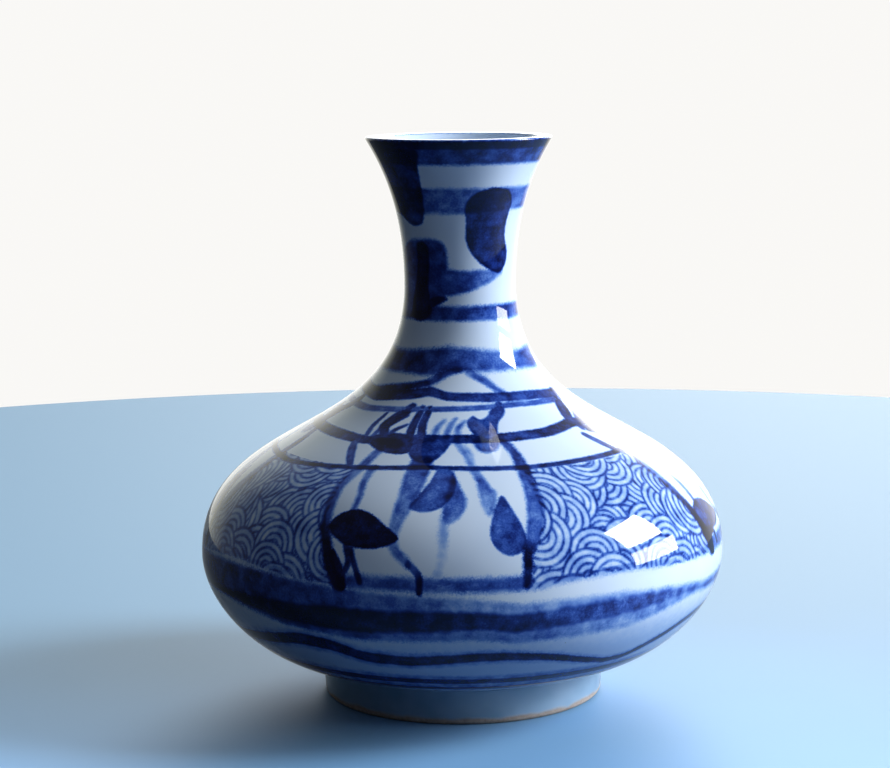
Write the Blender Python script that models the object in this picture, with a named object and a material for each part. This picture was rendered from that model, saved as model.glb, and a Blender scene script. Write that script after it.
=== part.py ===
"""Squat porcelain sake bottle, built from luted sections.

The bottle is a body of revolution about +Z that stands on the origin. Its outer wall is
one smooth curve, and its thickness is measured square to that curve. The wall is divided
into the sections that a potter joins: foot ring, lower bowl, shoulder and neck, with a
band of luting slip in each joint. Lengths are in metres.
"""

from math import cos, pi, radians, sin

import bmesh
import bpy
import numpy as np

SIDES = 56
CURVE_SAMPLES = 200
SHARP_ANGLE = radians(35)

HEIGHT = 0.1000
BELLY_RADIUS = 0.0468
BELLY_HEIGHT = 0.0263
WAIST_RADIUS = 0.0099
WAIST_HEIGHT = 0.0740
MOUTH_RADIUS = 0.01635
LIP_RADIUS = 0.0011
LIP_LEAN = radians(60)

FOOT_TOP_RADIUS = 0.02535
FOOT_BASE_RADIUS = 0.0250
FOOT_INNER_RADIUS = 0.0212
FOOT_INNER_TAPER = 0.0005
FOOT_ROUNDING = 0.0008
BOWL_UNDERSIDE = 0.0068
BOWL_START_ANGLE = radians(2.5)

# How far each end of a wall span holds its direction
BOWL_START_PULL = 0.0116
BELLY_LOWER_PULL = 0.0085
BELLY_UPPER_PULL = 0.0248
WAIST_LOWER_PULL = 0.0294
WAIST_UPPER_PULL = 0.0102
LIP_PULL = 0.0077

# Wall thickness at the foot joint, the belly, the waist and the lip
WALL_THICKNESS = (0.0036, 0.0031, 0.0025, 2 * LIP_RADIUS)

GAP = 0.0003
SLIP_THICKNESS = 0.0008
SLIP_INSET = 0.0003

# Places on the wall are counted in spans: 0 foot joint, 1 belly, 2 waist, 3 lip.
BELLY_JOINT = 1.02
NECK_JOINT = 1.70
LIP_START = 3.0

GLAZED_WHITE = (0.72, 0.79, 0.88, 1.0)
COBALT_WASH = (0.16, 0.27, 0.52, 1.0)
BARE_CLAY = (0.62, 0.58, 0.53, 1.0)
SLIP_WHITE = (0.80, 0.79, 0.76, 1.0)


def clear_scene():
    for old in list(bpy.data.objects):
        bpy.data.objects.remove(old, do_unlink=True)


def direction(angle):
    return np.array((cos(angle), sin(angle)))


def wall_spans():
    """Control points of the three cubic spans of the outer wall, as (radius, height)."""
    up = np.array((0.0, 1.0))
    foot_joint = np.array((FOOT_TOP_RADIUS, BOWL_UNDERSIDE))
    belly = np.array((BELLY_RADIUS, BELLY_HEIGHT))
    waist = np.array((WAIST_RADIUS, WAIST_HEIGHT))
    lip = lip_centre() + LIP_RADIUS * direction(LIP_LEAN - pi / 2)
    return (
        (foot_joint, foot_joint + BOWL_START_PULL * direction(BOWL_START_ANGLE),
         belly - BELLY_LOWER_PULL * up, belly),
        (belly, belly + BELLY_UPPER_PULL * up, waist - WAIST_LOWER_PULL * up, waist),
        (waist, waist + WAIST_UPPER_PULL * up, lip - LIP_PULL * direction(LIP_LEAN), lip),
    )


def lip_centre():
    return np.array((MOUTH_RADIUS - LIP_RADIUS, HEIGHT - LIP_RADIUS))


def wall_frame(place):
    """Point and velocity of the outer wall at a place counted in spans."""
    spans = wall_spans()
    index = min(int(place), len(spans) - 1)
    t = place - index
    start, pull_a, pull_b, end = spans[index]
    point = ((1 - t) ** 3 * start + 3 * t * (1 - t) ** 2 * pull_a
             + 3 * t ** 2 * (1 - t) * pull_b + t ** 3 * end)
    velocity = 3 * ((1 - t) ** 2 * (pull_a - start) + 2 * t * (1 - t) * (pull_b - pull_a)
                    + t ** 2 * (end - pull_b))
    return point, velocity


def wall_point(place, depth):
    """Point at a depth under the outer surface: 0 is outside, 1 is the inner surface."""
    point, velocity = wall_frame(place)
    inward = np.array((-velocity[1], velocity[0])) / np.linalg.norm(velocity)
    thickness = np.interp(place, range(len(WALL_THICKNESS)), WALL_THICKNESS)
    return point + depth * thickness * inward


def step_along(place, distance):
    """Place that lies a short distance further up the wall."""
    velocity = wall_frame(place)[1]
    return place + distance / np.linalg.norm(velocity)


def wall_run(low, high, steps, depth=0.0):
    """Points from the high place down to the low one, evenly spaced along the wall."""
    samples = np.linspace(high, low, CURVE_SAMPLES)
    points = np.array([wall_frame(place)[0] for place in samples])
    paces = np.linalg.norm(np.diff(points, axis=0), axis=1)
    travelled = np.concatenate(([0.0], np.cumsum(paces)))
    even = np.interp(np.linspace(0.0, travelled[-1], steps + 1), travelled, samples)
    return [wall_point(place, depth) for place in even]


def arc(centre, radius, start, end, steps):
    return [np.array(centre) + radius * direction(angle)
            for angle in np.linspace(radians(start), radians(end), steps + 1)]


def make_material(name, colour, roughness, coat):
    material = bpy.data.materials.new(name)
    material.use_nodes = True
    shader = material.node_tree.nodes["Principled BSDF"]
    shader.inputs["Base Color"].default_value = colour
    shader.inputs["Roughness"].default_value = roughness
    shader.inputs["Metallic"].default_value = 0.0
    shader.inputs["Coat Weight"].default_value = coat
    material.diffuse_color = colour
    return material


def turn(name, outline, material, ring=True):
    """Spin an outline of (radius, height) points about Z.

    A ring's outline closes on itself. Any other outline starts and ends on the axis.
    """
    shape = bmesh.new()
    corners = [shape.verts.new((radius, 0.0, height)) for radius, height in outline]
    edges = [shape.edges.new(pair) for pair in zip(corners, corners[1:])]
    if ring:
        edges.append(shape.edges.new((corners[-1], corners[0])))
    bmesh.ops.spin(shape, geom=corners + edges, cent=(0, 0, 0), axis=(0, 0, 1),
                   angle=2 * pi, steps=SIDES, use_merge=True)
    bmesh.ops.remove_doubles(shape, verts=shape.verts, dist=1e-6)
    bmesh.ops.recalc_face_normals(shape, faces=shape.faces)
    mesh = bpy.data.meshes.new(name)
    shape.to_mesh(mesh)
    shape.free()
    mesh.shade_smooth()
    mesh.set_sharp_from_angle(angle=SHARP_ANGLE)
    mesh.materials.append(material)
    section = bpy.data.objects.new(name, mesh)
    bpy.context.scene.collection.objects.link(section)
    return section


def joint_faces(joint):
    """Places of a joint's four faces: section below, slip bottom, slip top, section above."""
    half_slip = SLIP_THICKNESS / 2
    return [step_along(joint, offset)
            for offset in (-half_slip - GAP, -half_slip, half_slip, half_slip + GAP)]


def make_neck(material):
    """Waisted neck with a flared mouth and a rolled lip."""
    base = joint_faces(NECK_JOINT)[3]
    lean = np.degrees(LIP_LEAN)
    lip = arc(lip_centre(), LIP_RADIUS, lean + 90, lean - 90, 8)
    outside = wall_run(base, LIP_START, 16)
    inside = wall_run(base, LIP_START, 14, depth=1.0)
    turn("neck", inside[::-1] + lip[1:-1] + outside, material)


def make_shoulder(material):
    """Upper half of the body, which draws in to the neck."""
    base = joint_faces(BELLY_JOINT)[3]
    top = joint_faces(NECK_JOINT)[0]
    outside = wall_run(base, top, 12)
    inside = wall_run(base, top, 10, depth=1.0)
    turn("shoulder", outside + inside[::-1], material)


def make_lower_bowl(material):
    """Lower half of the body with a flat floor."""
    top = joint_faces(BELLY_JOINT)[0]
    outside = wall_run(0.0, top, 11)
    inside = wall_run(0.0, top, 9, depth=1.0)
    underside_centre = (0.0, BOWL_UNDERSIDE)
    floor_centre = (0.0, inside[-1][1])
    turn("lower_bowl", [underside_centre] + outside[::-1] + inside + [floor_centre],
         material, ring=False)


def make_foot_ring(material):
    """Standing ring with rounded bearing edges."""
    top = BOWL_UNDERSIDE - 2 * GAP - SLIP_THICKNESS
    rounding = FOOT_ROUNDING
    outer_edge = arc((FOOT_BASE_RADIUS - rounding, rounding), rounding, 0, -90, 4)
    inner_edge = arc((FOOT_INNER_RADIUS + rounding, rounding), rounding, 270, 180, 4)
    outline = [(FOOT_TOP_RADIUS, top)] + outer_edge + inner_edge
    outline.append((FOOT_INNER_RADIUS - FOOT_INNER_TAPER, top))
    turn("foot_ring", outline, material)


def make_wall_luting(name, joint, material):
    """Band of slip inside a wall joint, a little short of both surfaces."""
    low, high = joint_faces(joint)[1:3]
    inset = SLIP_INSET / WALL_THICKNESS[1]
    outline = [wall_point(high, inset), wall_point(low, inset),
               wall_point(low, 1 - inset), wall_point(high, 1 - inset)]
    turn(name, outline, material)


def make_foot_luting(material):
    """Flat band of slip between the bowl's underside and the foot ring."""
    top = BOWL_UNDERSIDE - GAP
    bottom = top - SLIP_THICKNESS
    outer = FOOT_TOP_RADIUS - SLIP_INSET
    inner = FOOT_INNER_RADIUS - FOOT_INNER_TAPER + SLIP_INSET
    turn("foot_luting", [(outer, top), (outer, bottom), (inner, bottom), (inner, top)], material)


def build():
    clear_scene()
    painted = make_material("painted_porcelain", COBALT_WASH, 0.12, 1.0)
    glazed = make_material("glazed_porcelain", GLAZED_WHITE, 0.12, 1.0)
    bare = make_material("bare_porcelain", BARE_CLAY, 0.65, 0.0)
    slip = make_material("luting_slip", SLIP_WHITE, 0.75, 0.0)
    make_neck(painted)
    make_shoulder(painted)
    make_lower_bowl(glazed)
    make_foot_ring(bare)
    make_wall_luting("neck_luting", NECK_JOINT, slip)
    make_wall_luting("belly_luting", BELLY_JOINT, slip)
    make_foot_luting(slip)


build()
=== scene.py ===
"""Looks of a squat porcelain sake bottle: cobalt brushwork on a white body under clear glaze.

Each turned section of the CAD model is replaced by a fine surface on the same wall curve.
Brushwork is painted on those surfaces as distances to brush strokes, and the material
turns the distances into ink. Many of the brush points were read in the photograph and
converted to azimuth and height. Lengths are in millimetres and angles in degrees until a
mesh is made. Azimuth 0 is the front (-Y) and 90 is the right side (+X).
"""

import bpy
import numpy as np
from mathutils import Matrix, Vector


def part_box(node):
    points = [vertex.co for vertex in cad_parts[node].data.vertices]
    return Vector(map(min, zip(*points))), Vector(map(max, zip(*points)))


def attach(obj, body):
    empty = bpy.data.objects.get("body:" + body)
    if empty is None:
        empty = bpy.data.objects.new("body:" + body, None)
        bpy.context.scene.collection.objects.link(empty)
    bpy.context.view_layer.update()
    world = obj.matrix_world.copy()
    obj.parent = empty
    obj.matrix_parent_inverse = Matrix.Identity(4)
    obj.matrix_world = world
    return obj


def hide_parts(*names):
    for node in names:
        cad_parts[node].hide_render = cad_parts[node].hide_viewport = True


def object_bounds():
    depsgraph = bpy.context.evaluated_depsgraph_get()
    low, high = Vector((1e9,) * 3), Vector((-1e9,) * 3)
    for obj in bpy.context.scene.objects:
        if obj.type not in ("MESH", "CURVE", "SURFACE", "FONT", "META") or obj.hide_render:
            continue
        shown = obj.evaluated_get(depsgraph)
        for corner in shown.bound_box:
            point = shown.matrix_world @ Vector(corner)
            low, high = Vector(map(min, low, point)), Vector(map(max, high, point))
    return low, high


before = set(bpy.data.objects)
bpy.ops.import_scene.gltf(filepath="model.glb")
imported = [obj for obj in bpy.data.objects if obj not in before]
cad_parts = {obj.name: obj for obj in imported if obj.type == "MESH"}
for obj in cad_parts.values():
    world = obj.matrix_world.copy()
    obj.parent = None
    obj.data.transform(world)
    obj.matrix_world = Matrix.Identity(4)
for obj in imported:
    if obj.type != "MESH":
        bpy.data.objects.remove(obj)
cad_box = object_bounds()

MM = 0.001


def box_mm(node):
    """Lowest and highest corner of a CAD node, in millimetres."""
    low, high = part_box(node)
    return np.array(low) / MM, np.array(high) / MM


# Sizes that the frame gives
HEIGHT = cad_box[1].z / MM
BELLY_RADIUS = cad_box[1].x / MM
FOOT_TOP_RADIUS = box_mm("foot_ring")[1][0]
BOWL_UNDERSIDE = box_mm("lower_bowl")[0][2]

# The rest of the wall curve
MOUTH_RADIUS = 16.0
BELLY_HEIGHT = 26.3
WAIST_RADIUS = 9.9
WAIST_HEIGHT = 74.0
LIP_RADIUS = 1.1
LIP_LEAN = 60.0
BOWL_START_ANGLE = 2.5
BOWL_START_PULL = 11.6
BELLY_LOWER_PULL = 8.5
BELLY_UPPER_PULL = 24.8
WAIST_LOWER_PULL = 29.4
WAIST_UPPER_PULL = 10.2
LIP_PULL = 7.7
WALL_THICKNESS = (3.6, 3.1, 2.5, 2.2)
BELLY_JOINT = 1.02
NECK_JOINT = 1.70
LIP_START = 3.0
LIP_INSIDE = 2.7
LIP_REACH = 1.2
LIP_OUTER_EDGE = 0.35
LIP_INNER_EDGE = 0.9

FOOT_BASE_RADIUS = 25.0
FOOT_INNER_RADIUS = 21.2
FOOT_INNER_TAPER = 0.5
FOOT_ROUNDING = 0.8
FOOT_FILLET = 0.7

# Groove that leaves room for a ring of slip in each joint
GROOVE_REACH = 0.7
GROOVE_EDGE = 0.2
FOOT_GROOVE_FLOOR = 5.4

# Fineness of the surfaces
BODY_COLUMNS = 1024
NECK_COLUMNS = 512
ROW_SPACING = 0.3
NECK_ROW_SPACING = 0.22
INSIDE_ROW_SPACING = 1.6


# ---------------------------------------------------------------------- wall curve

def direction(angle):
    return np.array((np.cos(np.radians(angle)), np.sin(np.radians(angle))))


def wall_spans():
    """Control points of the three cubic spans of the outer wall, as (radius, height)."""
    up = np.array((0.0, 1.0))
    foot_joint = np.array((FOOT_TOP_RADIUS, BOWL_UNDERSIDE))
    belly = np.array((BELLY_RADIUS, BELLY_HEIGHT))
    waist = np.array((WAIST_RADIUS, WAIST_HEIGHT))
    lip_centre = np.array((MOUTH_RADIUS - LIP_RADIUS, HEIGHT - LIP_RADIUS))
    lip = lip_centre + LIP_RADIUS * direction(LIP_LEAN - 90)
    return (
        (foot_joint, foot_joint + BOWL_START_PULL * direction(BOWL_START_ANGLE),
         belly - BELLY_LOWER_PULL * up, belly),
        (belly, belly + BELLY_UPPER_PULL * up, waist - WAIST_LOWER_PULL * up, waist),
        (waist, waist + WAIST_UPPER_PULL * up, lip - LIP_PULL * direction(LIP_LEAN), lip),
    )


SPANS = wall_spans()


def wall_frame(place):
    """Point of the outer wall and the curve's velocity, at a place counted in spans."""
    index = min(int(place), len(SPANS) - 1)
    t = place - index
    start, pull_a, pull_b, end = SPANS[index]
    point = ((1 - t) ** 3 * start + 3 * t * (1 - t) ** 2 * pull_a
             + 3 * t ** 2 * (1 - t) * pull_b + t ** 3 * end)
    velocity = 3 * ((1 - t) ** 2 * (pull_a - start) + 2 * t * (1 - t) * (pull_b - pull_a)
                    + t ** 2 * (end - pull_b))
    return point, velocity


def thickness_at(place):
    return np.interp(place, range(len(WALL_THICKNESS)), WALL_THICKNESS)


def wall_point(place, depth=0.0):
    """Point at a depth under the outer surface: 0 is outside, 1 is the inner surface."""
    point, velocity = wall_frame(place)
    inward = np.array((-velocity[1], velocity[0])) / np.linalg.norm(velocity)
    return point + depth * thickness_at(place) * inward


def step_along(place, distance):
    """Place that lies a short distance further up the wall."""
    return place + distance / np.linalg.norm(wall_frame(place)[1])


def lengths_along(points):
    """Distance travelled along a line of points, at each of them."""
    steps = np.linalg.norm(np.diff(points, axis=0), axis=1)
    return np.concatenate(([0.0], np.cumsum(steps)))


# Table of arc length along the outer wall, to go between place, arc and height
TABLE_PLACES = np.linspace(0.0, LIP_START, 3001)
TABLE_POINTS = np.array([wall_point(place) for place in TABLE_PLACES])
TABLE_RADII, TABLE_HEIGHTS = TABLE_POINTS.T
TABLE_ARCS = lengths_along(TABLE_POINTS)
RIM_ARC = TABLE_ARCS[-1]


def arc_at(height):
    return np.interp(height, TABLE_HEIGHTS, TABLE_ARCS)


def arc_of(place):
    return np.interp(place, TABLE_PLACES, TABLE_ARCS)


def radius_at(arc):
    return np.interp(arc, TABLE_ARCS, TABLE_RADII)


def places_between(low, high, spacing):
    """Places from low to high, evenly spaced along the wall."""
    start, end = arc_of((low, high))
    rows = int(np.ceil((end - start) / spacing)) + 1
    places = np.interp(np.linspace(start, end, rows), TABLE_ARCS, TABLE_PLACES)
    places[0], places[-1] = low, high
    return places


# ------------------------------------------------------------------ section outlines
# A run is a stretch of outline: its points and their outward normals. Outlines go up the
# outside, over the top and down the inside.

TANGENT_STEP = 1e-4
ROUND_STEPS = 8


def normals_of(tangents):
    tangents = tangents / np.linalg.norm(tangents, axis=1, keepdims=True)
    return np.stack((tangents[:, 1], -tangents[:, 0]), axis=1)


def outer_run(places):
    points = np.array([wall_point(place) for place in places])
    tangents = np.array([wall_frame(place)[1] for place in places])
    return points, normals_of(tangents)


def inner_points(places):
    return np.array([wall_point(place, 1.0) for place in places])


def inner_run(places):
    """Inner surface from the high place down to the low one."""
    down = places[::-1]
    tangents = inner_points(down - TANGENT_STEP) - inner_points(down + TANGENT_STEP)
    return inner_points(down), normals_of(tangents)


def straight_runs(*corners):
    """Flat runs through corners, with a sharp edge at each."""
    runs = []
    for start, end in zip(corners, corners[1:]):
        points = np.array((start, end), float)
        tangent = points[1] - points[0]
        runs.append((points, normals_of(np.array((tangent, tangent)))))
    return runs


def arc_run(centre, radius, start, end, steps=ROUND_STEPS, hollow=False):
    """Round run. A hollow one is a fillet, whose surface faces its centre."""
    angles = np.radians(np.linspace(start, end, steps + 1))
    outward = np.stack((np.cos(angles), np.sin(angles)), axis=1)
    return np.array(centre) + radius * outward, -outward if hollow else outward


def lip_run():
    """From the outer surface's end over a fine outer edge and a rounder inner edge."""
    across = direction(LIP_LEAN + 90)
    start = wall_point(LIP_START)
    outer = start + LIP_REACH * direction(LIP_LEAN) + LIP_OUTER_EDGE * across
    inner = wall_point(LIP_START, 1.0) - LIP_INNER_EDGE * across
    outer_edge = arc_run(outer, LIP_OUTER_EDGE, LIP_LEAN - 90, 90)
    inner_edge = arc_run(inner, LIP_INNER_EDGE, 90, LIP_LEAN + 90)
    return (np.concatenate(([start], outer_edge[0], inner_edge[0])),
            np.concatenate(([-across], outer_edge[1], inner_edge[1])))


LIP_ARCS = lengths_along(lip_run()[0])


def joint_corners(joint, side):
    """Corners of a grooved joint face, from the outer to the inner surface.

    side is -1 for the section below the joint and 1 for the section above it.
    """
    edge = GROOVE_EDGE / thickness_at(joint)
    deep = step_along(joint, side * GROOVE_REACH)
    return [wall_point(joint, 0.0), wall_point(joint, edge), wall_point(deep, edge),
            wall_point(deep, 1 - edge), wall_point(joint, 1 - edge), wall_point(joint, 1.0)]


# --------------------------------------------------------------------------- meshes

def add_object(name, data):
    made = bpy.data.objects.new(name, data)
    bpy.context.scene.collection.objects.link(made)
    return made


LAYERS = ("wash", "shape", "line")
FAR = 9.0
AXIS_RADIUS = 1e-6

# Layout for baking: a block for each half turn, where unpainted stretches get less room
UV_BLOCKS = 2
UV_MARGIN = 0.006
PLAIN_SHARE = 0.3


def rings_and_strips(runs):
    """Outline points, each turned to a ring of vertices, and the strips between them.

    A strip is its lower and upper ring, and the outline's normals at the two.
    """
    rings, strips = [], []
    for points, normals in runs:
        for lower, normal_pair in enumerate(zip(normals, normals[1:]), start=len(rings)):
            strips.append((lower, lower + 1, normal_pair))
        rings.extend(points[:-1])
    if rings[0][0] < AXIS_RADIUS:
        rings.append(runs[-1][0][-1])
    else:
        lower, _, normal_pair = strips[-1]
        strips[-1] = (lower, 0, normal_pair)
    return np.array(rings), strips


def lathe(name, runs, columns, material, canvas=None, painted_run=0):
    """One closed surface turned from runs, with exact normals and the canvas's ink."""
    rings, strips = rings_and_strips(runs)
    sizes = np.where(rings[:, 0] < AXIS_RADIUS, 1, columns)
    starts = np.concatenate(([0], np.cumsum(sizes)))
    turns = -np.pi + 2 * np.pi * np.arange(columns) / columns
    outward = np.stack((np.sin(turns), -np.cos(turns)), axis=1)
    vertices = np.empty((starts[-1], 3))
    for (radius, height), start, end in zip(rings, starts, starts[1:]):
        vertices[start:end, :2] = outward[:end - start] * radius
        vertices[start:end, 2] = height

    shares = [1.0 if canvas and index == painted_run else PLAIN_SHARE
              for index, (points, _) in enumerate(runs) for _ in points[1:]]
    lower, upper = np.array([strip[:2] for strip in strips]).T
    lengths = np.linalg.norm(rings[upper] - rings[lower], axis=1)
    travelled = np.concatenate(([0.0], np.cumsum(lengths * np.array(shares))))
    travelled /= travelled[-1]

    here = np.arange(columns)
    loops, normals, uvs, totals = [], [], [], []
    for index, (low, high, normal_pair) in enumerate(strips):
        corners = [(low, here, 0), (low, here + 1, 0), (high, here + 1, 1), (high, here, 1)]
        if sizes[low] == 1:
            corners.pop(1)
        if sizes[high] == 1:
            corners.pop(2)
        loops.append([starts[ring] + column % sizes[ring] for ring, column, _ in corners])
        normals.append([corner_normals(outward[column % columns], normal_pair[side])
                        for _, column, side in corners])
        uvs.append([corner_uvs(here, column, columns, travelled[index + side])
                    for _, column, side in corners])
        totals.append(np.full(columns, len(corners)))
    mesh = build_mesh(name, vertices, np.concatenate(totals), by_face(loops), by_face(normals),
                      by_face(uvs))
    add_ink(mesh, starts, canvas, runs, painted_run)
    mesh.materials.append(material)
    add_object(name, mesh)


def corner_normals(outward, normal):
    """An outline's normal at each column that outward points to."""
    return np.column_stack((outward * normal[0], np.full(len(outward), normal[1])))


def corner_uvs(here, column, columns, along):
    """Layout places of the corners in column of the faces that start at here."""
    across = (here * UV_BLOCKS % columns + (column - here) * UV_BLOCKS) / columns
    block = here * UV_BLOCKS // columns
    room = 1 - 2 * UV_MARGIN
    return np.column_stack((UV_MARGIN + room * across,
                            (block + UV_MARGIN + room * along) / UV_BLOCKS))


def by_face(strips):
    """Corner values of all strips, in the order of their faces."""
    return np.concatenate([
        np.stack(corners, axis=1).reshape(-1, *corners[0].shape[1:]) for corners in strips])


def build_mesh(name, vertices, totals, loops, normals, uvs):
    mesh = bpy.data.meshes.new(name)
    mesh.vertices.add(len(vertices))
    mesh.vertices.foreach_set("co", (vertices * MM).astype(np.float32).ravel())
    mesh.loops.add(len(loops))
    mesh.loops.foreach_set("vertex_index", loops.astype(np.int32))
    mesh.polygons.add(len(totals))
    loop_starts = np.concatenate(([0], np.cumsum(totals)[:-1])).astype(np.int32)
    mesh.polygons.foreach_set("loop_start", loop_starts)
    mesh.update(calc_edges=True)
    mesh.shade_smooth()
    baked = mesh.uv_layers.new(name="OFBake")
    baked.data.foreach_set("uv", uvs.astype(np.float32).ravel())
    mesh.normals_split_custom_set(normals)
    return mesh


def add_ink(mesh, starts, canvas, runs, painted_run):
    """Store each layer's distance and strength on the mesh's vertices."""
    first = starts[sum(len(points) - 1 for points, _ in runs[:painted_run])]
    for layer in LAYERS:
        for kind, empty in (("distance", FAR), ("strength", 0.0)):
            values = np.full(len(mesh.vertices), empty, np.float32)
            if canvas:
                grid = canvas.layers[layer][kind]
                values[first:first + grid.size] = grid.ravel()
            attribute = mesh.attributes.new(f"{layer}_{kind}", "FLOAT", "POINT")
            attribute.data.foreach_set("value", values)


# ------------------------------------------------------------------------- painting

REACH = 1.3
TINY = 1e-9
CURVE_STEP = 0.5
CURVE_BLUR = 15
CANVASES = []


class Canvas:
    """Grid of points on a section's outer surface, with its layers of ink."""

    def __init__(self, arcs, radii, columns):
        self.arcs = arcs
        self.radii = radii
        self.columns = columns
        shape = (len(arcs), columns)
        self.layers = {layer: {"distance": np.full(shape, FAR), "strength": np.zeros(shape)}
                       for layer in LAYERS}

    def window(self, azimuths, arcs, margin):
        """Rows and columns near a patch, their azimuths and arcs, and millimetres a degree."""
        rows = np.arange(*np.searchsorted(self.arcs, (arcs[0] - margin, arcs[1] + margin)))
        if not len(rows):
            return None
        radii = self.radii[rows]
        spread = np.degrees(margin / max(radii.min(), 1.0))
        step = 360 / self.columns
        first = int(np.floor((azimuths[0] - spread + 180) / step))
        last = int(np.ceil((azimuths[1] + spread + 180) / step))
        columns = np.arange(first, min(last, first + self.columns - 1) + 1)
        turn = columns * step - 180
        return rows, columns % self.columns, turn, self.arcs[rows], np.radians(radii)[:, None]

    def lay(self, layer, rows, columns, distance, strength):
        """Keep the nearest stroke at each point of a window."""
        area = np.ix_(rows, columns)
        held = self.layers[layer]
        nearer = distance < held["distance"][area]
        for kind, value in (("distance", distance), ("strength", strength)):
            held[kind][area] = np.where(nearer, value, held[kind][area])


def windows(azimuths, arcs, margin):
    """Each canvas that a patch touches, and the patch's window on it."""
    for canvas in CANVASES:
        window = canvas.window(azimuths, arcs, margin)
        if window:
            yield canvas, window


def smooth_path(points, closed=False, steps=6):
    """Catmull-Rom curve through points of any number of values."""
    points = np.array(points, float)
    if closed:
        padded = np.concatenate((points[-1:], points, points[:2]))
    else:
        padded = np.concatenate((2 * points[:1] - points[1:2], points,
                                 2 * points[-1:] - points[-2:-1]))
    path = []
    for a, b, c, d in zip(padded, padded[1:], padded[2:], padded[3:]):
        for t in np.linspace(0, 1, steps, endpoint=False):
            path.append(0.5 * (2 * b + (c - a) * t + (2 * a - 5 * b + 4 * c - d) * t * t
                               + (3 * b - a - 3 * c + d) * t ** 3))
    if not closed:
        path.append(points[-1])
    return np.array(path)


def from_segment(turn, arc, scale, start, end):
    """Share of a segment at its nearest place to each grid point, and the gap to there."""
    across = (turn[None, :] - start[0]) * scale
    along = (arc - start[1])[:, None]
    run_across = (end[0] - start[0]) * scale
    run_along = end[1] - start[1]
    length = run_across ** 2 + run_along ** 2 + TINY
    share = np.clip((across * run_across + along * run_along) / length, 0, 1)
    return share, np.hypot(across - share * run_across, along - share * run_along)


def stroke(layer, points, width, strength):
    """A brush stroke through (azimuth, height) points.

    Width and strength are one value, or one for each point.
    """
    count = len(points)
    widths = np.broadcast_to(width, count)
    strengths = np.broadcast_to(strength, count)
    path = smooth_path([(azimuth, arc_at(height), w, s)
                        for (azimuth, height), w, s in zip(points, widths, strengths)])
    for start, end in zip(path, path[1:]):
        paint_segment(layer, start, end)


def paint_segment(layer, start, end):
    """Short straight piece of a stroke. Its ends are (azimuth, arc, width, strength)."""
    azimuths, arcs, widths, _ = (sorted(pair) for pair in zip(start, end))
    for canvas, (rows, columns, turn, arc, scale) in windows(azimuths, arcs,
                                                             widths[1] / 2 + REACH):
        share, gap = from_segment(turn, arc, scale, start, end)
        width = start[2] + share * (end[2] - start[2])
        strength = start[3] + share * (end[3] - start[3])
        canvas.lay(layer, rows, columns, gap - width / 2, strength)


def blot(layer, outline, strength):
    """A filled shape with a smooth closed outline of (azimuth, height) points."""
    corners = smooth_path([(azimuth, arc_at(height)) for azimuth, height in outline], True)
    azimuths, arcs = zip(corners.min(axis=0), corners.max(axis=0))
    for canvas, (rows, columns, turn, arc, scale) in windows(azimuths, arcs, REACH):
        nearest = np.full((len(rows), len(columns)), FAR)
        inside = np.zeros(nearest.shape, bool)
        for start, end in zip(corners, np.roll(corners, -1, axis=0)):
            nearest = np.minimum(nearest, from_segment(turn, arc, scale, start, end)[1])
            spans = ((arc < start[1]) != (arc < end[1]))[:, None]
            rise = end[1] - start[1]
            level = (arc - start[1]) / (rise if abs(rise) > TINY else TINY)
            crossing = start[0] + level * (end[0] - start[0])
            inside ^= spans & (turn[None, :] < crossing[:, None])
        canvas.lay(layer, rows, columns, np.where(inside, -nearest, nearest), strength)


def ring_curve(value):
    """A function of azimuth from a number or from knots of (azimuth, value).

    Knots go all the way round, and give a smooth closed curve. A function stays itself.
    """
    if callable(value):
        return value
    if np.ndim(value) == 0:
        return lambda azimuth: value + 0 * azimuth
    fine = np.arange(-180, 180, CURVE_STEP)
    raw = np.interp(fine, *np.array(value, float).T, period=360)
    kernel = np.hanning(CURVE_BLUR)
    wrapped = np.concatenate((raw[-CURVE_BLUR:], raw, raw[:CURVE_BLUR]))
    smooth = np.convolve(wrapped, kernel / kernel.sum(), mode="same")[CURVE_BLUR:-CURVE_BLUR]
    return lambda azimuth: np.interp(azimuth, fine, smooth, period=360)


def raised(curve, by, times=1.0):
    """One ring curve raised by another. Either may be a number or knots."""
    curve, by = ring_curve(curve), ring_curve(by)
    return lambda azimuth: curve(azimuth) + times * by(azimuth)


def arc_curve(height):
    """Arc length of a ring curve of height."""
    curve = ring_curve(height)
    return lambda azimuth: arc_at(curve(azimuth))


def arc_band(layer, top, bottom, strength):
    """A band round the pot between two ring curves of arc length."""
    top, bottom, strength = (ring_curve(value) for value in (top, bottom, strength))
    for canvas in CANVASES:
        columns = np.arange(canvas.columns)
        azimuth = -180 + 360 * columns / canvas.columns
        arc = canvas.arcs[:, None]
        distance = np.maximum(arc - top(azimuth), bottom(azimuth) - arc)
        canvas.lay(layer, np.arange(len(canvas.arcs)), columns, distance, strength(azimuth))


def band(layer, top, bottom, strength):
    """A band round the pot between two ring curves of height."""
    arc_band(layer, arc_curve(top), arc_curve(bottom), strength)


def ring_line(knots, strength):
    """A line round the pot, through knots of azimuth, lower edge and width."""
    azimuths, bottoms, widths = zip(*knots)
    bottom = list(zip(azimuths, bottoms))
    band("line", raised(bottom, list(zip(azimuths, widths))), bottom, strength)


def turned(points, turn, side=1):
    """Points turned round the bottle. A side of -1 mirrors them first."""
    return [(side * azimuth + turn, height) for azimuth, height in points]


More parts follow.
